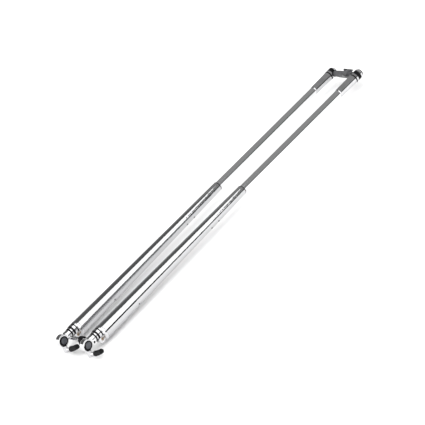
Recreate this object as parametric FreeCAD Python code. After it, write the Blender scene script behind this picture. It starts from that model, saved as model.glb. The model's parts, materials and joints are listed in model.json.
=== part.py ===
"""Twin-arm telescopic spreader beam, in millimetres.

The beam lies along X with +Z up.  Stations along the arms are counted from the push buttons and
heights from the arms' own axes, and each arm's piece is drawn with Y = 0 on its own arm.
Saving a piece moves it to its arm and puts the origin in the middle of the cross bar.
Both arms are the same hand: buttons, pinch bolts and feet all face -Y.
"""
import FreeCAD, Part
import math
import os

os.makedirs("parts", exist_ok=True)

V = FreeCAD.Vector
X_DIR = V(1, 0, 0)
Y_DIR = V(0, 1, 0)
Z_DIR = V(0, 0, 1)

# --- driving dimensions ---
ARM_SPACING = 104.0          # centre to centre across the two arms
SIDES = {"left": ARM_SPACING / 2, "right": -ARM_SPACING / 2}
FIT = 0.05                   # radial running clearance
GAP = 0.3                    # gap between bodies that move past each other
SEAT = 0.02                  # radial slack of the pieces pressed into the outer tube
M6_R = 3.0                   # pinch bolt and bracket bolt

# knuckle at the near end
KNUCKLE_R = 18.0
KNUCKLE_FACE_Y = -15.0       # the face that holds the button
KNUCKLE_BACK_Y = 5.0
NECK_R = 12.0
SPIGOT_END = 86.0
BAND_A = (33.0, 37.0, 13.0)  # rubber band start, end, outer radius
SHOULDER = (37.0, 41.0, 13.6)
BAND_B = (41.0, 46.0, 14.3)
BAND_C = (53.5, 57.0, 15.2)
BAND_FLOOR_R = 10.8
OPEN_BAND_FLOOR_R = 13.5     # floor of the collar's own groove

# push button in the knuckle
BUTTON_Z = 3.0               # the button sits a little above the arm axis
BUTTON_R = 10.0
BUTTON_DEPTH = 9.5           # how far its skirt reaches into the pocket
BUTTON_BORE_R = 5.6          # hollow back that holds the spring
BEZEL_R = 13.6
BEZEL_DEPTH = 2.5
POCKET_FLOOR_Y = -1.0
SPRING_FLOOR_Y = 2.5
SPRING_CLEAR = 3.4           # from the coil to the floor, for the button to travel

# cross bar joining the two knuckles
BAR_R = 6.0
BAR_BORE_R = 3.5
BAR_X = 23.0
BAR_Z = -4.5
KEEPER_Y = (-22.0, -6.0)

# tapered outer tube, flat on top
TUBE_NEAR_X = 68.0
TUBE_MOUTH_X = 680.0
TUBE_NEAR_R = 23.4
TUBE_MOUTH_R = 14.2
TUBE_NEAR_DROP = 9.0         # how far the tube's centre lies below the arm axis, at each end
TUBE_MOUTH_DROP = 0.8
TUBE_WALL = 1.3

# clamp collar
LIP_X = 57.0
LIP_R = 24.0
COLLAR_X = 46.0
COLLAR_R = 15.5
PLUG_END = 98.0
EAR_X = 51.0
EAR_Z = -16.0
EAR_R = 12.0
EAR_OUT = 11.5
PINCH_HEAD_Y = -7.5          # seat of the pinch bolt's head, deep in its counterbore
SLOT_HALF = 1.6
SLOT_END = 59.5

# screws along the outer tube
SCREW_DOWN_DEG = 38.0        # below the -Y side
SCREW_R = 2.4
RIVET_X = 201.0
SET_SCREWS_X = (526.0, 557.0)

# inner tube
INNER_R = 11.6
INNER_WALL = 1.5
INNER_START = 500.0
INNER_END = 1160.0
GUIDE_START = 510.0          # hidden end of the liner in the tube's mouth
REAR_GUIDE_HALF = 9.0
REAR_GUIDE_SLACK = 0.6

# far fitting
FAR_START = 1117.0
FAR_HEAD_X = 1200.0
FAR_HEAD_R = 14.0
FAR_GROOVES = ((1184.0, 1188.0), (1194.0, 1206.0))
FAR_GROOVE_R = 12.4
FAR_END = {"left": 1209.0, "right": 1213.0}
FAR_CAP_LENGTH = {"left": 6.0, "right": 8.0}
FAR_CAP_STEM = 3.0
SHAFT_R = 5.0
SHAFT_HALF = 63.0

# swinging foot
FOOT_R = 5.4
FOOT_TIP_R = 8.0
FOOT_HUB_R = 8.0
FOOT_HUB_TOP = -20.3
FOOT_HUB_BOTTOM = -36.4
FOOT_RECESS_Z = -33.0        # seat of the pin's head, up inside the hub
FOOT_PIN_R = 3.5
FOOT_PIN_HEAD_R = 6.0
FOOT_PIN_TOP = -15.2


def cylinder(radius, start, end, axis="x", at=(0.0, 0.0)):
    """Cylinder between two stations of an axis; at gives the other two coordinates in X, Y, Z order."""
    if axis == "x":
        return Part.makeCylinder(radius, end - start, V(start, at[0], at[1]), X_DIR)
    if axis == "y":
        return Part.makeCylinder(radius, end - start, V(at[0], start, at[1]), Y_DIR)
    return Part.makeCylinder(radius, end - start, V(at[0], at[1], start), Z_DIR)


def ring(outer, inner, start, end, axis="x", at=(0.0, 0.0)):
    """Plain ring between two stations of an axis."""
    return cylinder(outer, start, end, axis, at).cut(cylinder(inner, start, end, axis, at))


def box(x0, x1, y0, y1, z0, z1):
    """Box between two corners."""
    return Part.makeBox(x1 - x0, y1 - y0, z1 - z0, V(x0, y0, z0))


def revolve(points, axis="x", at=(0.0, 0.0)):
    """Solid of revolution of (station, radius) points about an axis parallel to X or Y."""
    if axis == "x":
        corners = [V(s, at[0] + r, at[1]) for s, r in points]
        base, direction = V(0, at[0], at[1]), X_DIR
    else:
        corners = [V(at[0] + r, s, at[1]) for s, r in points]
        base, direction = V(at[0], 0, at[1]), Y_DIR
    outline = Part.makePolygon(corners + [corners[0]])
    return Part.Face(outline).revolve(base, direction, 360)


def rounded(shape, radius, pick):
    """Fillet the edges that pick accepts."""
    return shape.makeFillet(radius, [edge for edge in shape.Edges if pick(edge)])


def fused(shapes):
    """Join touching or overlapping solids into one and drop the seams."""
    whole = shapes[0]
    for shape in shapes[1:]:
        whole = whole.fuse(shape)
    return whole.removeSplitter()


def hexagon(across_flats, start, end, axis, at):
    """Hexagonal prism along X, Y or Z."""
    corner_r = across_flats / 2 / math.cos(math.radians(30))
    points = []
    for i in range(7):
        angle = math.radians(60 * i)
        u, v = corner_r * math.cos(angle), corner_r * math.sin(angle)
        if axis == "x":
            points.append(V(start, at[0] + u, at[1] + v))
        elif axis == "y":
            points.append(V(at[0] + u, start, at[1] + v))
        else:
            points.append(V(at[0] + u, at[1] + v, start))
    direction = {"x": X_DIR, "y": Y_DIR, "z": Z_DIR}[axis]
    return Part.Face(Part.makePolygon(points)).extrude(direction * (end - start))


def save(name, shape, side=None):
    """Move a piece to its arm and the beam's own origin, and write it."""
    shape = shape.copy()
    shape.translate(V(-BAR_X, 0, -BAR_Z))
    if side:
        shape.translate(V(0, SIDES[side], 0))
        name = name + "_" + side
    if not shape.isValid():
        print("INVALID", name)
    print("%-26s solids %d  volume %.0f" % (name, len(shape.Solids), shape.Volume))
    shape.exportStep("parts/" + name + ".step")


# --- outer tube ---

def taper(x):
    """Outer radius and centre height of the tapered tube at a station."""
    share = (x - TUBE_NEAR_X) / (TUBE_MOUTH_X - TUBE_NEAR_X)
    radius = TUBE_NEAR_R + share * (TUBE_MOUTH_R - TUBE_NEAR_R)
    return radius, -(TUBE_NEAR_DROP + share * (TUBE_MOUTH_DROP - TUBE_NEAR_DROP))


def taper_solid(x0, x1, shrink):
    """Solid of the tapered tube's outline between two stations, shrunk all round."""
    wires = []
    for x in (x0, x1):
        radius, height = taper(x)
        circle = Part.Circle(V(x, 0, height), X_DIR, radius - shrink)
        wires.append(Part.Wire([circle.toShape()]))
    return Part.makeLoft(wires, True, True)


def screw_direction():
    """Outward direction of the screws along the tube."""
    angle = math.radians(SCREW_DOWN_DEG)
    return V(0, -math.cos(angle), -math.sin(angle))


def screw_reach(x, shrink=0.0):
    """Distance from the arm axis to the tube's wall along the screw direction."""
    radius, height = taper(x)
    along = screw_direction().z * height
    return along + math.sqrt(along * along - height * height + (radius - shrink) ** 2)


def radial_pin(x, radius, start, end):
    """Cylinder along the screw direction between two distances from the arm axis."""
    direction = screw_direction()
    return Part.makeCylinder(radius, end - start, V(x, 0, 0) + direction * start, direction)


def outer_tube():
    tube = taper_solid(TUBE_NEAR_X, TUBE_MOUTH_X, 0)
    tube = tube.cut(taper_solid(TUBE_NEAR_X, TUBE_MOUTH_X, TUBE_WALL))
    for x in (RIVET_X,) + SET_SCREWS_X:
        reach = screw_reach(x)
        tube = tube.cut(radial_pin(x, SCREW_R, reach - 6, reach + 4))
    return tube


def guide_sleeve():
    """Straight liner in the mouth with a front collar and a thick rear collar for the set screws."""
    start, end = GUIDE_START, TUBE_MOUTH_X - 1
    bore_of_tube = taper_solid(start, end, TUBE_WALL + SEAT)
    sleeve = cylinder(INNER_R + 1.45, start, end).common(bore_of_tube)
    rear = taper_solid(SET_SCREWS_X[0] - 10, SET_SCREWS_X[1] + 10, TUBE_WALL + SEAT)
    front = taper_solid(end - 27, end, TUBE_WALL + SEAT)
    sleeve = fused([sleeve, rear, front])
    sleeve = sleeve.cut(cylinder(INNER_R + FIT, start - 10, end + 10))
    for x in SET_SCREWS_X:
        sleeve = sleeve.cut(radial_pin(x, SCREW_R, INNER_R - 1, screw_reach(x) + 4))
    return sleeve


def mouth_wiper():
    """Black wiper ring pressed on the face of the tube's mouth, clear of the inner tube."""
    body = revolve([
        (TUBE_MOUTH_X, 0), (TUBE_MOUTH_X, TUBE_MOUTH_R), (TUBE_MOUTH_X + 1.2, TUBE_MOUTH_R),
        (TUBE_MOUTH_X + 3.0, TUBE_MOUTH_R - 1.0), (TUBE_MOUTH_X + 3.0, 0),
    ], "x", (0.0, -TUBE_MOUTH_DROP))
    return body.cut(cylinder(INNER_R + GAP, TUBE_MOUTH_X - 1, TUBE_MOUTH_X + 4))


def rear_guide():
    """Ring that steers the inner tube's end when the beam is closed."""
    half = REAR_GUIDE_HALF
    bore = INNER_R + REAR_GUIDE_SLACK
    body = taper_solid(RIVET_X - half, RIVET_X + half, TUBE_WALL + SEAT)
    funnel = Part.makeCone(bore, bore + 0.3, half, V(RIVET_X, 0, 0), X_DIR)
    body = body.cut(cylinder(bore, RIVET_X - half - 3, RIVET_X + half + 3)).cut(funnel)
    reach = screw_reach(RIVET_X)
    return body.cut(radial_pin(RIVET_X, SCREW_R, reach - 8, reach + 4))


def tube_screws():
    """Rear guide rivet and the two set screws, with domed outer ends and hexagon sockets."""
    screws = []
    for x in (RIVET_X,) + SET_SCREWS_X:
        outer = screw_reach(x) + 0.5
        inner = INNER_R + GAP if x != RIVET_X else outer - 7.5
        body = radial_pin(x, SCREW_R - 0.01, inner, outer)
        body = body.cut(radial_pin(x, 1.2, outer - 1.6, outer + 1))
        screws.append(body)
    return Part.makeCompound(screws)


# --- inner tube ---

def inner_tube():
    return ring(INNER_R, INNER_R - INNER_WALL, INNER_START, INNER_END)


def inner_plug():
    bore = INNER_R - INNER_WALL
    plug = revolve([
        (INNER_START - 3, 0), (INNER_START - 3, INNER_R - 1.2), (INNER_START - 1.8, INNER_R),
        (INNER_START, INNER_R), (INNER_START, bore), (INNER_START + 22, bore), (INNER_START + 22, 0),
    ])
    return plug.cut(cylinder(6, INNER_START + 3, INNER_START + 22))


# --- near end: knuckle, collar, bands ---

def knuckle():
    """Cast knuckle: a short drum across the arm and a stepped neck along it."""
    centre = (0.0, BUTTON_Z)
    barrel = cylinder(KNUCKLE_R, KNUCKLE_FACE_Y, KNUCKLE_BACK_Y, "y", centre)
    barrel = rounded(barrel, 2.0, lambda e: e.BoundBox.YMax < KNUCKLE_FACE_Y + 0.1)
    barrel = rounded(barrel, 7.0, lambda e: e.BoundBox.YMin > KNUCKLE_BACK_Y - 0.1)
    neck = revolve([
        (-11, 0), (-9.5, 5), (-5, 9), (1, 11.4), (7, NECK_R),
        (KNUCKLE_R - 2, NECK_R), (KNUCKLE_R + 3, NECK_R + 0.9), (BAND_A[0], NECK_R + 0.5),
        (BAND_A[0], BAND_FLOOR_R), (BAND_A[1], BAND_FLOOR_R),
        (SHOULDER[0], SHOULDER[2]), (SHOULDER[1], SHOULDER[2]),
        (SHOULDER[1], NECK_R), (SPIGOT_END, NECK_R), (SPIGOT_END, 0),
    ])
    foot_boss = cylinder(FOOT_HUB_R, FOOT_HUB_TOP + GAP, -11, "z")
    body = fused([barrel, neck, foot_boss])
    body = body.cut(cylinder(NECK_R - 4, BAND_B[1], SPIGOT_END + 1))
    face = KNUCKLE_FACE_Y
    body = body.cut(cylinder(BUTTON_R + GAP, face - 2, POCKET_FLOOR_Y, "y", centre))
    body = body.cut(cylinder(BEZEL_R, face - 2, face + BEZEL_DEPTH, "y", centre))
    body = body.cut(cylinder(BUTTON_BORE_R + GAP, POCKET_FLOOR_Y - 1, SPRING_FLOOR_Y, "y", centre))
    body = body.cut(cylinder(BAR_R, -30, 30, "y", (BAR_X, BAR_Z)))
    return body.cut(cylinder(FOOT_PIN_R, -26, FOOT_PIN_TOP, "z"))


def button_bezel():
    """Black ring round the button, set in the face of the knuckle."""
    face = KNUCKLE_FACE_Y
    bore = BUTTON_R + 0.35
    return revolve([
        (face + BEZEL_DEPTH, bore), (face + BEZEL_DEPTH, BEZEL_R), (face - 0.6, BEZEL_R),
        (face - 1.4, BEZEL_R - 0.9), (face - 1.0, bore),
    ], "y", (0.0, BUTTON_Z))


def button():
    """Dark push button with a shallow dished face and a hollow back."""
    face = KNUCKLE_FACE_Y
    return revolve([
        (face - 0.4, 0), (face - 0.6, 5), (face - 1.1, 7.6), (face - 0.6, BUTTON_R - 0.5),
        (face + 0.3, BUTTON_R), (face + BUTTON_DEPTH, BUTTON_R), (face + BUTTON_DEPTH, BUTTON_BORE_R),
        (face + 3, BUTTON_BORE_R), (face + 3, 0),
    ], "y", (0.0, BUTTON_Z))


def button_spring():
    """Coil spring between the button and the bottom of its pocket, as turns of round wire."""
    face = KNUCKLE_FACE_Y
    turns, wire_r, coil_r = 6, 0.5, 4.4
    start, end = face + 3 + wire_r + 0.05, SPRING_FLOOR_Y - wire_r - SPRING_CLEAR
    helix = Part.makeHelix((end - start) / turns, end - start, coil_r)
    helix.rotate(V(0, 0, 0), X_DIR, -90)
    helix.translate(V(0, start, BUTTON_Z))
    first = helix.Vertexes[0].Point
    tangent = helix.Edges[0].tangentAt(helix.Edges[0].FirstParameter)
    profile = Part.Wire([Part.Circle(first, tangent, wire_r).toShape()])
    return Part.Wire(helix.Edges).makePipeShell([profile], True, True)


def ear_space():
    """Space under the neck that the collar's ears take up."""
    return box(40, 70, -EAR_OUT - 1, EAR_OUT + 1, -40, 0)


def neck_bands():
    """Three rubber bands along the neck; the third stops short at the collar's ears."""
    bands = [
        ring(BAND_A[2], BAND_FLOOR_R, BAND_A[0], BAND_A[1]),
        ring(BAND_B[2], NECK_R, BAND_B[0], BAND_B[1]),
    ]
    open_band = ring(BAND_C[2], OPEN_BAND_FLOOR_R, BAND_C[0], BAND_C[1])
    open_band = open_band.cut(ear_space())
    return Part.makeCompound(bands + [open_band])


def clamp_collar():
    """Split collar: it plugs the tube's wide end and grips the knuckle's neck."""
    centre = (0.0, -TUBE_NEAR_DROP)
    lip = revolve([
        (LIP_X, 0), (LIP_X, LIP_R - 5), (LIP_X + 2, LIP_R - 1.8), (LIP_X + 5, LIP_R),
        (TUBE_NEAR_X - 1.5, LIP_R), (TUBE_NEAR_X, LIP_R - 1.0), (TUBE_NEAR_X, 0),
    ], "x", centre)
    plug = taper_solid(TUBE_NEAR_X, PLUG_END, TUBE_WALL + SEAT)
    collar = cylinder(COLLAR_R, COLLAR_X, LIP_X + 4)
    ears = []
    for sign in (-1, 1):
        y0, y1 = sorted((sign * SLOT_HALF * 0.5, sign * EAR_OUT))
        disc = cylinder(EAR_R, y0, y1, "y", (EAR_X, EAR_Z))
        web = box(COLLAR_X, LIP_X + 4, y0, y1, EAR_Z, -8)
        ears.extend([disc, web])
    body = fused([lip, plug, collar] + ears)
    body = body.cut(cylinder(NECK_R, 30, SPIGOT_END + 2))
    body = body.cut(cylinder(NECK_R - 1, SPIGOT_END, PLUG_END + 1))
    body = body.cut(box(30, SLOT_END, -SLOT_HALF, SLOT_HALF, -60, 0))
    groove = ring(COLLAR_R + 1, OPEN_BAND_FLOOR_R, BAND_C[0], BAND_C[1])
    body = body.cut(groove.cut(ear_space()))
    body = body.cut(cylinder(M6_R + 0.1, -30, 30, "y", (EAR_X, EAR_Z)))
    body = body.cut(cylinder(5.4, -30, PINCH_HEAD_Y, "y", (EAR_X, EAR_Z)))
    return body.cut(cylinder(BAND_B[2] + GAP, 30, COLLAR_X))


def pinch_bolt():
    """Socket-head bolt across the collar's ears, head towards -Y."""
    head = cylinder(5.0, PINCH_HEAD_Y - 3.2, PINCH_HEAD_Y, "y", (EAR_X, EAR_Z))
    shank = cylinder(M6_R, PINCH_HEAD_Y - 1, EAR_OUT + 6.5, "y", (EAR_X, EAR_Z))
    bolt = fused([head, shank])
    return bolt.cut(hexagon(5.0, PINCH_HEAD_Y - 4, PINCH_HEAD_Y - 0.8, "y", (EAR_X, EAR_Z)))


def pinch_nut():
    """Flanged nut and washer on the far side of the ears."""
    washer = ring(5.4, M6_R + 0.05, EAR_OUT, EAR_OUT + 1.2, "y", (EAR_X, EAR_Z))
    nut = hexagon(10.0, EAR_OUT + 1.2, EAR_OUT + 6.0, "y", (EAR_X, EAR_Z))
    nut = nut.cut(cylinder(M6_R + 0.05, 0, 30, "y", (EAR_X, EAR_Z)))
    return Part.makeCompound([washer, nut])


# --- swinging foot ---

FOOT_A = V(0, 0, -29.5)
FOOT_B = V(0, -29.0, -23.0)
FOOT_C = V(0, -60.6, -10.4)
FOOT_BARE = 0.46             # share of the arc that is bare metal


def foot_arc():
    return Part.Arc(FOOT_A, FOOT_B, FOOT_C)


def swept_round(arc, share0, share1, radius0, radius1, steps):
    """Round bar along a stretch of an arc, lofted through circles that change radius."""
    first, last = arc.FirstParameter, arc.LastParameter
    wires = []
    for i in range(steps + 1):
        share = share0 + (share1 - share0) * i / steps
        u = first + (last - first) * share
        radius = radius0 + (radius1 - radius0) * i / steps
        circle = Part.Circle(arc.value(u), arc.tangent(u)[0], radius)
        wires.append(Part.Wire([circle.toShape()]))
    return Part.makeLoft(wires, True, False)


def foot():
    """Curved foot with a hub on a vertical pin under the knuckle."""
    arc = foot_arc()
    bar = swept_round(arc, 0.0, FOOT_BARE + 0.04, FOOT_R, FOOT_R - 0.7, 8)
    hub = cylinder(FOOT_HUB_R, FOOT_HUB_BOTTOM, FOOT_HUB_TOP, "z")
    body = fused([bar, hub, foot_spigot()])
    body = body.cut(cylinder(FOOT_PIN_R + FIT, -50, -15, "z"))
    return body.cut(cylinder(FOOT_PIN_HEAD_R + 0.4, -50, FOOT_RECESS_Z, "z"))


def foot_spigot():
    """Thin end of the bar, inside the rubber tip."""
    return swept_round(foot_arc(), FOOT_BARE + 0.03, 0.92, 3.3, 3.1, 5)


def foot_tip():
    """Black rubber tip over the end of the foot, rounded at its end."""
    arc = foot_arc()
    start = FOOT_BARE - 0.03
    body = swept_round(arc, start, 1.0, FOOT_TIP_R, FOOT_TIP_R - 0.8, 7)
    ball = Part.makeSphere(FOOT_TIP_R - 0.82, FOOT_C)
    body = fused([body, ball])
    bare = swept_round(arc, 0.0, FOOT_BARE + 0.04, FOOT_R, FOOT_R - 0.7, 8)
    return body.cut(bare).cut(foot_spigot())


def foot_pin():
    """Shouldered screw that the foot swings on, fixed in the knuckle."""
    shank = cylinder(FOOT_PIN_R - 0.01, FOOT_RECESS_Z - 1, FOOT_PIN_TOP - 0.2, "z")
    head = cylinder(FOOT_PIN_HEAD_R, FOOT_RECESS_Z - 3.2, FOOT_RECESS_Z - FIT, "z")
    pin = fused([shank, head])
    return pin.cut(hexagon(4.0, FOOT_RECESS_Z - 4, FOOT_RECESS_Z - 1.6, "z", (0, 0)))


# --- cross bar and sling keeper ---

def cross_bar():
    """Hollow bar pressed through both knuckles."""
    half = ARM_SPACING / 2 + NECK_R + 1
    bar = cylinder(BAR_R, -half, half, "y", (BAR_X, BAR_Z))
    bar = bar.cut(cylinder(BAR_BORE_R, -half, half, "y", (BAR_X, BAR_Z)))
    for stop in KEEPER_Y:
        inner, outer = sorted((stop, stop + math.copysign(2.0, stop - sum(KEEPER_Y) / 2)))
        shift = math.copysign(GAP, stop - sum(KEEPER_Y) / 2)
        flange = ring(BAR_R + 2.6, BAR_R, inner + shift, outer + shift, "y", (BAR_X, BAR_Z))
        bar = bar.fuse(flange)
    return bar.removeSplitter()


def keeper():
    """Black nylon keeper that hangs on the cross bar between its two flanges."""
    y0, y1 = KEEPER_Y
    eye = cylinder(BAR_R + 4.2, y0, y1, "y", (BAR_X, BAR_Z))
    outline = [
        (BAR_X - 9.3, BAR_Z + 2), (BAR_X - 14.0, -24.0), (BAR_X - 11.0, -34.0),
        (BAR_X - 1.0, -34.0), (BAR_X + 9.3, BAR_Z - 2),
    ]
    corners = [V(x, y0, z) for x, z in outline]
    wedge = Part.Face(Part.makePolygon(corners + [corners[0]])).extrude(V(0, y1 - y0, 0))
    wedge = rounded(wedge, 2.0, lambda e: abs(e.tangentAt(e.FirstParameter).y) > 0.99)
    body = fused([eye, wedge])
    body = body.cut(cylinder(BAR_R + FIT, y0 - 1, y1 + 1, "y", (BAR_X, BAR_Z)))
    return body


# --- far end ---

def far_sleeve(side):
    """Sleeve over the inner tube, flaring into a round head."""
    end = FAR_END[side]
    (start_a, end_a), (start_b, end_b) = FAR_GROOVES
    body = revolve([
        (FAR_START, 0), (FAR_START, INNER_R + 0.7), (FAR_START + 2, INNER_R + 1.3),
        (1150, 13.0), (1174, 13.4), (start_a, FAR_HEAD_R),
        (start_a, FAR_GROOVE_R), (end_a, FAR_GROOVE_R), (end_a, FAR_HEAD_R + 0.3),
        (start_b, FAR_HEAD_R + 0.3), (start_b, FAR_GROOVE_R), (end_b, FAR_GROOVE_R),
        (end_b, FAR_HEAD_R), (end - 2, FAR_HEAD_R), (end, FAR_HEAD_R - 1.6), (end, 0),
    ])
    body = body.cut(cylinder(INNER_R, FAR_START - 1, INNER_END))
    body = body.cut(cylinder(8.0, end - FAR_CAP_STEM, end + 1))
    y_in, y_out = (-30, SHAFT_HALF - SIDES["left"]) if side == "left" else (SIDES["left"] - SHAFT_HALF, 30)
    return body.cut(cylinder(SHAFT_R, y_in, y_out, "y", (FAR_HEAD_X, 0)))


def far_bands(side):
    """Two black rings let into the head; the wider one has a hole where the shaft enters."""
    y0, y1 = (-30, 0) if side == "left" else (0, 30)
    shaft = cylinder(SHAFT_R + GAP, y0, y1, "y", (FAR_HEAD_X, 0))
    rings = [ring(FAR_HEAD_R - 0.3, FAR_GROOVE_R, start, end).cut(shaft) for start, end in FAR_GROOVES]
    return Part.makeCompound(rings)


def far_cap(side):
    """Domed end cap, pressed in the head."""
    end = FAR_END[side]
    length = FAR_CAP_LENGTH[side]
    top = FAR_HEAD_R - 1.8
    stem = end - FAR_CAP_STEM + 0.2
    points = [(stem, 0), (stem, 8.0), (end, 8.0), (end, top)]
    for i in range(1, 7):
        angle = math.radians(15 * i)
        points.append((end + length * math.sin(angle), max(top * math.cos(angle), 0.0)))
    points[-1] = (end + length, 0)
    return revolve(points)


def far_shaft():
    """Shaft fixed in both heads; the bracket turns on it."""
    return cylinder(SHAFT_R, -SHAFT_HALF, SHAFT_HALF, "y", (FAR_HEAD_X, 0))


BRACKET_HALF = 35.5
BARREL_R = 8.7
BARREL_MID_R = 10.0
BUSH_R = 7.0
EYE_X = 1214.5
EYE_Y = 15.0
EYE_R = 3.25
PLATE_Z = (-9.0, -3.0)
TAB_LEAN = V(1, 0, 1).normalize()      # the tab leans away from the arms
TAB_ACROSS = V(-1, 0, 1).normalize()
TAB_ROOT = V(1204.0, -13.0, 2.0)
TAB_LENGTH = 9.5
TAB_THICK = 5.0
TAB_ROOT_HALF = 11.0
TAB_TOP_HALF = 17.5
STRIP_HIGH = 3.0
STRIP_THICK = 4.0
BRACKET_BOLT = (-20.0, 9.0)            # Y, Z of the bolt along X
BOLT_SEAT_X = 1187.0
BOLT_END_X = 1205.0


def leaning_plate(reach0, reach1, half0, half1, thick):
    """Plate in line with the tab between two distances from its root, with a half width at each."""
    corners = []
    for reach, half in ((reach0, -half0), (reach0, half0), (reach1, half1), (reach1, -half1)):
        corners.append(TAB_ROOT + TAB_LEAN * reach + V(0, half, 0) - TAB_ACROSS * (thick / 2))
    return Part.Face(Part.makePolygon(corners + [corners[0]])).extrude(TAB_ACROSS * thick)


def bracket():
    """Bracket between the heads: spindle, small plate with an eye, leaning tab, bolt boss."""
    spindle = revolve([
        (-BRACKET_HALF, 0), (-BRACKET_HALF, BARREL_R), (-20, BARREL_MID_R), (15, BARREL_MID_R),
        (BRACKET_HALF, BARREL_R), (BRACKET_HALF, 0),
    ], "y", (FAR_HEAD_X, 0))
    z0, z1 = PLATE_Z
    outline = [
        (FAR_HEAD_X, 4.0), (FAR_HEAD_X + 21.5, 4.0), (FAR_HEAD_X + 21.5, 19.0),
        (FAR_HEAD_X + 12, 26.0), (FAR_HEAD_X, 26.0),
    ]
    corners = [V(x, y, z0) for x, y in outline]
    plate = Part.Face(Part.makePolygon(corners + [corners[0]])).extrude(V(0, 0, z1 - z0))
    tab = leaning_plate(0, TAB_LENGTH, TAB_ROOT_HALF, TAB_TOP_HALF, TAB_THICK)
    boss = cylinder(6.5, BOLT_SEAT_X, BOLT_END_X + 3, "x", BRACKET_BOLT)
    body = fused([spindle, plate, tab, boss])
    body = body.cut(cylinder(SHAFT_R + 1.0, -40, 40, "y", (FAR_HEAD_X, 0)))
    for sign in (-1, 1):
        y0, y1 = sorted((sign * (BRACKET_HALF - 12), sign * (BRACKET_HALF + 1)))
        body = body.cut(cylinder(BUSH_R, y0, y1, "y", (FAR_HEAD_X, 0)))
    body = body.cut(cylinder(EYE_R, -20, 20, "z", (EYE_X, EYE_Y)))
    return body.cut(cylinder(M6_R, BOLT_SEAT_X - 5, BOLT_END_X + 0.5, "x", BRACKET_BOLT))


def bracket_bushes():
    """Flanged plastic bushes in both ends of the barrel."""
    bushes = []
    for sign in (-1, 1):
        y0, y1 = sorted((sign * (BRACKET_HALF - 12), sign * BRACKET_HALF))
        sleeve = cylinder(BUSH_R, y0, y1, "y", (FAR_HEAD_X, 0))
        y0, y1 = sorted((sign * BRACKET_HALF, sign * (BRACKET_HALF + 1.5)))
        flange = cylinder(9.5, y0, y1, "y", (FAR_HEAD_X, 0))
        bush = sleeve.fuse(flange).removeSplitter()
        bushes.append(bush.cut(cylinder(SHAFT_R + FIT, -60, 60, "y", (FAR_HEAD_X, 0))))
    return Part.makeCompound(bushes)


def bracket_pad():
    """Black rubber strip along the top edge of the tab."""
    return leaning_plate(TAB_LENGTH, TAB_LENGTH + STRIP_HIGH, TAB_TOP_HALF, TAB_TOP_HALF, STRIP_THICK)


def bracket_bolt():
    """Hexagon bolt screwed into the boss, head towards the arms, with its washer."""
    under_head = BOLT_SEAT_X - 1.2
    head = hexagon(10.0, under_head - 4.3, under_head, "x", BRACKET_BOLT)
    shank = cylinder(M6_R - 0.01, under_head - 1, BOLT_END_X, "x", BRACKET_BOLT)
    washer = ring(6.0, M6_R + 0.05, under_head, BOLT_SEAT_X, "x", BRACKET_BOLT)
    return Part.makeCompound([head.fuse(shank).removeSplitter(), washer])


ARM_PARTS = {
    "outer_tube": outer_tube,
    "guide_sleeve": guide_sleeve,
    "mouth_wiper": mouth_wiper,
    "rear_guide": rear_guide,
    "tube_screws": tube_screws,
    "inner_tube": inner_tube,
    "inner_plug": inner_plug,
    "knuckle": knuckle,
    "button_bezel": button_bezel,
    "button": button,
    "button_spring": button_spring,
    "neck_bands": neck_bands,
    "clamp_collar": clamp_collar,
    "pinch_bolt": pinch_bolt,
    "pinch_nut": pinch_nut,
    "foot": foot,
    "foot_tip": foot_tip,
    "foot_pin": foot_pin,
}

SIDED_PARTS = {
    "far_sleeve": far_sleeve,
    "far_bands": far_bands,
    "far_cap": far_cap,
}

SHARED_PARTS = {
    "cross_bar": cross_bar,
    "keeper": keeper,
    "far_shaft": far_shaft,
    "bracket": bracket,
    "bracket_bushes": bracket_bushes,
    "bracket_pad": bracket_pad,
    "bracket_bolt": bracket_bolt,
}

for part_name, make in ARM_PARTS.items():
    piece = make()
    for arm in SIDES:
        save(part_name, piece, arm)

for part_name, make in SIDED_PARTS.items():
    for arm in SIDES:
        save(part_name, make(arm), arm)

for part_name, make in SHARED_PARTS.items():
    save(part_name, make())
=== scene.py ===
"""Looks of the twin-arm telescopic spreader beam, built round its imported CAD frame.

Metres, in the row frame: the beam lies along +X from the middle of its cross bar, +Z is up.
"""

import json
import math

import bpy
from mathutils import Matrix, Vector


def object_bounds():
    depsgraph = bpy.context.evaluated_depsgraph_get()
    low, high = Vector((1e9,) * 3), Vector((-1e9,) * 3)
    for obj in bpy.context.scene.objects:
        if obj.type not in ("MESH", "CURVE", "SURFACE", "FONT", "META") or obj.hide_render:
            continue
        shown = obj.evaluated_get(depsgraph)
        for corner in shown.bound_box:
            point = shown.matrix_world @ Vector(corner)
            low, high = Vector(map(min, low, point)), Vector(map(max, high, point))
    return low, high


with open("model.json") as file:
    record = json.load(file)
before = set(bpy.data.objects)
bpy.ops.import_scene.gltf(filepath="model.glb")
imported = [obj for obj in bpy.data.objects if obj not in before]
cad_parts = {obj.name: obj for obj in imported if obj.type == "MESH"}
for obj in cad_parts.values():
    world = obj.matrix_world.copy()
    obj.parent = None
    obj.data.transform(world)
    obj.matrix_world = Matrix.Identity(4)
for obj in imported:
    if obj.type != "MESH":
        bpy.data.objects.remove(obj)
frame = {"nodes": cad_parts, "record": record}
cad_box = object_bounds()

# --- camera: a long lens that looks along the beam from its near end, rolled to the left ---

LENS_MM = 400.0
SENSOR_MM = 36.0
FRAME_WIDTH = 1.1824         # metres across the picture at the beam
VIEW_AZIMUTH = -32.0
VIEW_ELEVATION = 28.0
ROLL = 28.5
AIM = Vector((0.5736, 0.0062, -0.0168))
BEYOND = 60.0                # how far past the beam the camera still sees


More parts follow.
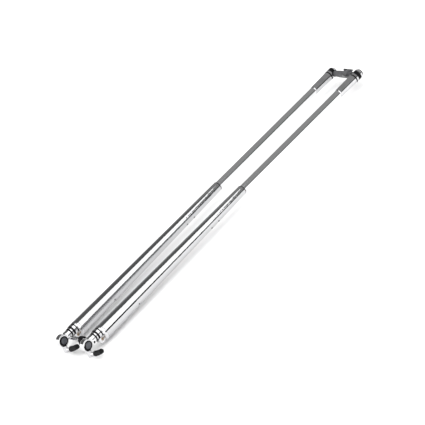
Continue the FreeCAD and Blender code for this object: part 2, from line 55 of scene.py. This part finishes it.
def add_camera():
    """Camera at the viewing angle, aimed at the middle of the picture."""
    a, e = math.radians(VIEW_AZIMUTH), math.radians(VIEW_ELEVATION)
    back = Vector((math.sin(a) * math.cos(e), -math.cos(a) * math.cos(e), math.sin(e)))
    level = back.to_track_quat("Z", "Y")
    data = bpy.data.cameras.new("camera")
    data.lens = LENS_MM
    data.sensor_width = SENSOR_MM
    distance = FRAME_WIDTH * LENS_MM / SENSOR_MM
    data.clip_end = distance + BEYOND
    camera = bpy.data.objects.new("camera", data)
    bpy.context.scene.collection.objects.link(camera)
    turn = level.to_matrix() @ Matrix.Rotation(math.radians(-ROLL), 3, "Z")
    camera.matrix_world = Matrix.LocRotScale(AIM + back * distance, turn.to_quaternion(), None)
    bpy.context.scene.camera = camera


# --- studio: sky, floor and grey cards that only reflections see ---

FLOOR_Z = cad_box[0].z - 0.0005
FLOOR_HALF = 60.0
FLOOR_GREY = 0.86
SKY_WHITE = 1.9
SKY_FAR_SIDE = 0.4           # the sky past the far end, on the +Y side
SKY_STOPS = [                # angle up from +Y round the X axis in degrees, brightness
    (-180, 1.1), (-90, 1.0), (-1, 1.1),                # under the horizon
    (0, SKY_FAR_SIDE), (56, SKY_FAR_SIDE),             # +Y side
    (62, SKY_WHITE), (158, SKY_WHITE),                 # overhead and down the -Y side
    (162, 0.0), (180, 0.0),                            # dark strip low on the -Y side
]
FAR_SIDE_FROM = (0.10, 0.25)  # share of +X in a direction over which that side turns dark
CARD_HEIGHT = 1.0
CARDS = {                    # corners in metres, brightness; they meet above the tubes' mouths
    "back_card": (((-1.0, 0.45), (1.15, -0.17), (1.15, 5.0), (-1.0, 5.0)), 0.14),
    "end_card": (((1.15, -0.17), (1.19, -0.17), (1.31, -1.1), (2.2, -2.8), (7.0, -2.8), (7.0, 5.0),
                  (1.15, 5.0)), 0.30),
}


def brightness_ramp(tree, factor, stops, low, high):
    """Colour ramp of grey levels over a range of angles."""
    ramp = tree.nodes.new("ShaderNodeValToRGB")
    tree.links.new(factor, ramp.inputs["Fac"])
    top = max(level for _, level in stops)
    elements = ramp.color_ramp.elements
    while len(elements) < len(stops):
        elements.new(0.5)
    for element, (angle, level) in zip(elements, stops):
        element.position = (angle - low) / (high - low)
        share = level / top
        element.color = (share, share, share, 1.0)
    return ramp.outputs["Color"], top


def add_sky():
    """Light from all round, banded round the X axis so that polished tubes show long streaks."""
    world = bpy.data.worlds.new("studio")
    world.use_nodes = True
    bpy.context.scene.world = world
    tree = world.node_tree
    coords = tree.nodes.new("ShaderNodeTexCoord")
    split = tree.nodes.new("ShaderNodeSeparateXYZ")
    tree.links.new(coords.outputs["Generated"], split.inputs["Vector"])
    angle = tree.nodes.new("ShaderNodeMath")
    angle.operation = "ARCTAN2"
    tree.links.new(split.outputs["Z"], angle.inputs[0])
    tree.links.new(split.outputs["Y"], angle.inputs[1])
    share = tree.nodes.new("ShaderNodeMapRange")
    tree.links.new(angle.outputs["Value"], share.inputs["Value"])
    share.inputs["From Min"].default_value = -math.pi
    share.inputs["From Max"].default_value = math.pi
    colour, top = brightness_ramp(tree, share.outputs["Result"], SKY_STOPS, -180, 180)
    reach = tree.nodes.new("ShaderNodeMapRange")
    tree.links.new(split.outputs["X"], reach.inputs["Value"])
    reach.inputs["From Min"].default_value, reach.inputs["From Max"].default_value = FAR_SIDE_FROM
    both = tree.nodes.new("ShaderNodeMix")
    both.data_type = "RGBA"
    both.inputs["A"].default_value = (1.0, 1.0, 1.0, 1.0)
    tree.links.new(reach.outputs["Result"], both.inputs["Factor"])
    tree.links.new(colour, both.inputs["B"])
    background = tree.nodes["Background"]
    tree.links.new(both.outputs["Result"], background.inputs["Color"])
    background.inputs["Strength"].default_value = top


def add_floor():
    """Pale matt floor just under the beam."""
    half = FLOOR_HALF
    mesh = bpy.data.meshes.new("floor")
    mesh.from_pydata([(-half, -half, FLOOR_Z), (half, -half, FLOOR_Z), (half, half, FLOOR_Z),
                      (-half, half, FLOOR_Z)], [], [(0, 1, 2, 3)])
    floor = bpy.data.objects.new("floor", mesh)
    bpy.context.scene.collection.objects.link(floor)
    paint = bpy.data.materials.new("floor_paint")
    paint.use_nodes = True
    bsdf = paint.node_tree.nodes["Principled BSDF"]
    bsdf.inputs["Base Color"].default_value = (FLOOR_GREY, FLOOR_GREY, FLOOR_GREY, 1)
    bsdf.inputs["Roughness"].default_value = 0.9
    bsdf.inputs["Specular IOR Level"].default_value = 0.1
    mesh.materials.append(paint)


def add_card(name, corners, brightness):
    """Flat card above the beam that only reflections see."""
    mesh = bpy.data.meshes.new(name)
    points = [(x, y, CARD_HEIGHT) for x, y in corners]
    mesh.from_pydata(points, [], [tuple(range(len(points)))])
    card = bpy.data.objects.new(name, mesh)
    bpy.context.scene.collection.objects.link(card)
    paint = bpy.data.materials.new(name + "_paint")
    paint.use_nodes = True
    tree = paint.node_tree
    tree.nodes.clear()
    out = tree.nodes.new("ShaderNodeOutputMaterial")
    glow = tree.nodes.new("ShaderNodeEmission")
    glow.inputs["Color"].default_value = (brightness, brightness, brightness, 1)
    tree.links.new(glow.outputs["Emission"], out.inputs["Surface"])
    mesh.materials.append(paint)
    card.visible_camera = False
    card.visible_diffuse = False
    card.visible_shadow = False
    card.visible_transmission = False


# --- materials ---

RUBBED = 2.2                 # how much paler a moulding is along its rubbed edges


class Finish:
    """A procedural material on the Principled shader, patterned in the part's own metres."""

    def __init__(self, name, metallic=0.0, coat=0.0):
        self.material = bpy.data.materials.new(name)
        self.material.use_nodes = True
        self.tree = self.material.node_tree
        self.bsdf = self.tree.nodes["Principled BSDF"]
        self.bsdf.inputs["Metallic"].default_value = metallic
        self.bsdf.inputs["Coat Weight"].default_value = coat
        self.place = self.tree.nodes.new("ShaderNodeTexCoord").outputs["Object"]
        self.height = None

    def add(self, kind, **inputs):
        node = self.tree.nodes.new(kind)
        for key, value in inputs.items():
            self.put(node.inputs[key.replace("_", " ")], value)
        return node

    def put(self, socket, value):
        if isinstance(value, bpy.types.NodeSocket):
            self.tree.links.new(value, socket)
        else:
            socket.default_value = value

    def noise(self, scale, detail=3.0, stretch=(1, 1, 1), roughness=0.5):
        """Cloudy pattern from 0 to 1; stretch divides its frequency along X, Y and Z."""
        moved = self.add("ShaderNodeMapping", Vector=self.place)
        moved.inputs["Scale"].default_value = [1 / s for s in stretch]
        cloud = self.add("ShaderNodeTexNoise", Scale=scale, Detail=detail, Roughness=roughness,
                         Vector=moved.outputs["Vector"])
        return cloud.outputs["Fac"]

    def between(self, factor, low, high, first=0.0, last=1.0):
        """Value that goes from low to high as factor goes from first to last."""
        node = self.add("ShaderNodeMapRange", Value=factor)
        node.inputs["From Min"].default_value = first
        node.inputs["From Max"].default_value = last
        node.inputs["To Min"].default_value = low
        node.inputs["To Max"].default_value = high
        return node.outputs["Result"]

    def mix(self, factor, one, other):
        node = self.tree.nodes.new("ShaderNodeMix")
        node.data_type = "RGBA"
        self.put(node.inputs["Factor"], factor)
        self.put(node.inputs["A"], (*one, 1) if isinstance(one, tuple) else one)
        self.put(node.inputs["B"], (*other, 1) if isinstance(other, tuple) else other)
        return node.outputs["Result"]

    def maximum(self, one, other):
        node = self.tree.nodes.new("ShaderNodeMath")
        node.operation = "MAXIMUM"
        self.put(node.inputs[0], one)
        self.put(node.inputs[1], other)
        return node.outputs["Value"]

    def worn_edges(self, radius):
        """1 along edges and corners and 0 on flats, broken up by a little noise."""
        soft = self.add("ShaderNodeBevel", Radius=radius)
        sharp = self.tree.nodes.new("ShaderNodeNewGeometry").outputs["Normal"]
        turn = self.tree.nodes.new("ShaderNodeVectorMath")
        turn.operation = "DOT_PRODUCT"
        self.put(turn.inputs[0], soft.outputs["Normal"])
        self.put(turn.inputs[1], sharp)
        edge = self.between(turn.outputs["Value"], 1.0, 0.0, 0.80, 0.99)
        broken = self.between(self.noise(900, 2), 0.2, 1.0, 0.35, 0.6)
        both = self.tree.nodes.new("ShaderNodeMath")
        both.operation = "MULTIPLY"
        self.put(both.inputs[0], edge)
        self.put(both.inputs[1], broken)
        return both.outputs["Value"]

    def bump(self, height, distance, strength=1.0):
        node = self.add("ShaderNodeBump", Height=height, Distance=distance, Strength=strength)
        if self.height is not None:
            self.put(node.inputs["Normal"], self.height)
        self.height = node.outputs["Normal"]
        self.put(self.bsdf.inputs["Normal"], self.height)

    def colour(self, value):
        self.put(self.bsdf.inputs["Base Color"], value)

    def roughness(self, value):
        self.put(self.bsdf.inputs["Roughness"], value)


def polished_tube(name, light, dark):
    """Polished tube: long draw lines, faint smudges where hands slide along it."""
    finish = Finish(name, metallic=1.0)
    smudge = finish.between(finish.noise(14, 4, (3, 1, 1)), 0.0, 1.0, 0.52, 0.72)
    lines = finish.noise(1600, 2, (60, 1, 1))
    finish.colour(finish.mix(finish.between(lines, 0.0, 1.0, 0.3, 0.7), dark, light))
    finish.roughness(finish.maximum(
        finish.between(lines, 0.035, 0.07), finish.between(smudge, 0.03, 0.13)))
    finish.bump(lines, 0.0000003)
    return finish.material


def cast_chrome():
    """Chromed casting: bright, a little wavy, with fine pits and rubbed edges."""
    finish = Finish("cast_chrome", metallic=1.0)
    edges = finish.worn_edges(0.0006)
    cloud = finish.noise(60, 4)
    base = finish.mix(finish.between(cloud, 0, 1, 0.3, 0.7), (0.60, 0.60, 0.61), (0.70, 0.70, 0.71))
    finish.colour(finish.mix(edges, base, (0.80, 0.80, 0.80)))
    finish.roughness(finish.maximum(
        finish.between(cloud, 0.05, 0.14), finish.between(edges, 0.0, 0.22)))
    finish.bump(cloud, 0.00008, 0.5)
    finish.bump(finish.noise(1400, 2), 0.000006)
    return finish.material


def moulded(name, dark, light, rough, grain, depth):
    """Moulded rubber or plastic: dusty mottling, fine grain, edges rubbed paler."""
    finish = Finish(name)
    edges = finish.worn_edges(0.0005)
    dust = finish.between(finish.noise(110, 5), 0.0, 1.0, 0.42, 0.75)
    rubbed = tuple(RUBBED * c for c in light)
    finish.colour(finish.mix(edges, finish.mix(dust, dark, light), rubbed))
    finish.roughness(finish.between(dust, rough, rough + 0.2))
    finish.bsdf.inputs["Specular IOR Level"].default_value = 0.08
    finish.bump(finish.noise(grain, 3), depth)
    return finish.material


def button_plastic():
    """Slate-grey button: dusty mottling, fine grain and edges worn paler."""
    finish = Finish("button_plastic")
    edges = finish.worn_edges(0.0005)
    dust = finish.between(finish.noise(160, 4), 0.0, 1.0, 0.35, 0.7)
    base = finish.mix(dust, (0.050, 0.053, 0.062), (0.075, 0.078, 0.088))
    finish.colour(finish.mix(edges, base, (0.20, 0.20, 0.21)))
    finish.roughness(finish.between(dust, 0.28, 0.5))
    finish.bump(finish.noise(1800, 2), 0.00002)
    return finish.material


def plated_steel(name, dark, light):
    """Zinc-plated fasteners: dull silver with a mottled spangle."""
    finish = Finish(name, metallic=1.0)
    cells = finish.add("ShaderNodeTexVoronoi", Scale=700.0, Vector=finish.place)
    spangle = cells.outputs["Distance"]
    finish.colour(finish.mix(spangle, dark, light))
    finish.roughness(finish.between(spangle, 0.22, 0.38))
    finish.bump(finish.noise(2500, 2), 0.00001)
    return finish.material


def bronze():
    """Bronze pinch bolt, tarnished in patches and rubbed bright along its edges."""
    finish = Finish("bronze", metallic=1.0)
    edges = finish.worn_edges(0.0004)
    cloud = finish.noise(300, 4)
    tarnish = finish.between(cloud, 0, 1, 0.35, 0.65)
    base = finish.mix(tarnish, (0.30, 0.24, 0.19), (0.44, 0.36, 0.29))
    finish.colour(finish.mix(edges, base, (0.62, 0.54, 0.45)))
    finish.roughness(finish.between(cloud, 0.28, 0.45))
    finish.bump(finish.noise(1800, 2), 0.00001)
    return finish.material


def black_oxide():
    """Blackened steel screws, worn to metal on their edges."""
    finish = Finish("black_oxide", metallic=0.7)
    edges = finish.worn_edges(0.0004)
    cloud = finish.noise(500, 3)
    base = finish.mix(cloud, (0.016, 0.016, 0.018), (0.035, 0.035, 0.037))
    finish.colour(finish.mix(edges, base, (0.30, 0.30, 0.30)))
    finish.roughness(finish.between(cloud, 0.32, 0.5))
    finish.bump(cloud, 0.00001)
    return finish.material


def painted_grey():
    """Dark grey enamel with orange peel, chipped to steel along its edges."""
    finish = Finish("painted_grey", coat=0.3)
    edges = finish.worn_edges(0.0007)
    cloud = finish.noise(90, 4)
    patches = finish.between(cloud, 0, 1, 0.3, 0.7)
    base = finish.mix(patches, (0.055, 0.055, 0.060), (0.085, 0.085, 0.090))
    finish.colour(finish.mix(edges, base, (0.42, 0.42, 0.42)))
    finish.roughness(finish.between(cloud, 0.38, 0.55))
    finish.bump(finish.noise(650, 2), 0.00003)
    return finish.material


def dress(finishes):
    """Give every CAD node the finish of its own name or, failing that, of its material slot."""
    for part in frame["record"]["subparts"]:
        stem = part["node"].replace("_left", "").replace("_right", "")
        mesh = frame["nodes"][part["node"]].data
        mesh.materials.clear()
        mesh.materials.append(finishes.get(stem, finishes.get(part["material_slot"])))


add_camera()
add_sky()
add_floor()
for card_name, (card_corners, card_glow) in CARDS.items():
    add_card(card_name, card_corners, card_glow)

dress({
    "chrome": polished_tube("hard_chrome", (0.82, 0.82, 0.83), (0.76, 0.76, 0.77)),
    "outer_tube": polished_tube("polished_steel", (0.60, 0.60, 0.61), (0.54, 0.54, 0.55)),
    "cast_chrome": cast_chrome(),
    "pinch_bolt": bronze(),
    "rubber": moulded("rubber", (0.005, 0.005, 0.006), (0.012, 0.012, 0.012), 0.5, 1300, 0.00003),
    "nylon": moulded("nylon", (0.006, 0.006, 0.007), (0.015, 0.015, 0.016), 0.38, 700, 0.00002),
    "button": button_plastic(),
    "liner": moulded("liner", (0.55, 0.53, 0.47), (0.45, 0.43, 0.38), 0.4, 800, 0.00002),
    "steel": plated_steel("plated_steel", (0.46, 0.46, 0.47), (0.60, 0.60, 0.58)),
    "bracket_bolt": plated_steel("dull_steel", (0.16, 0.16, 0.17), (0.27, 0.27, 0.27)),
    "black_steel": black_oxide(),
    "bracket_grey": painted_grey(),
})

bpy.context.scene.view_settings.view_transform = "Standard"
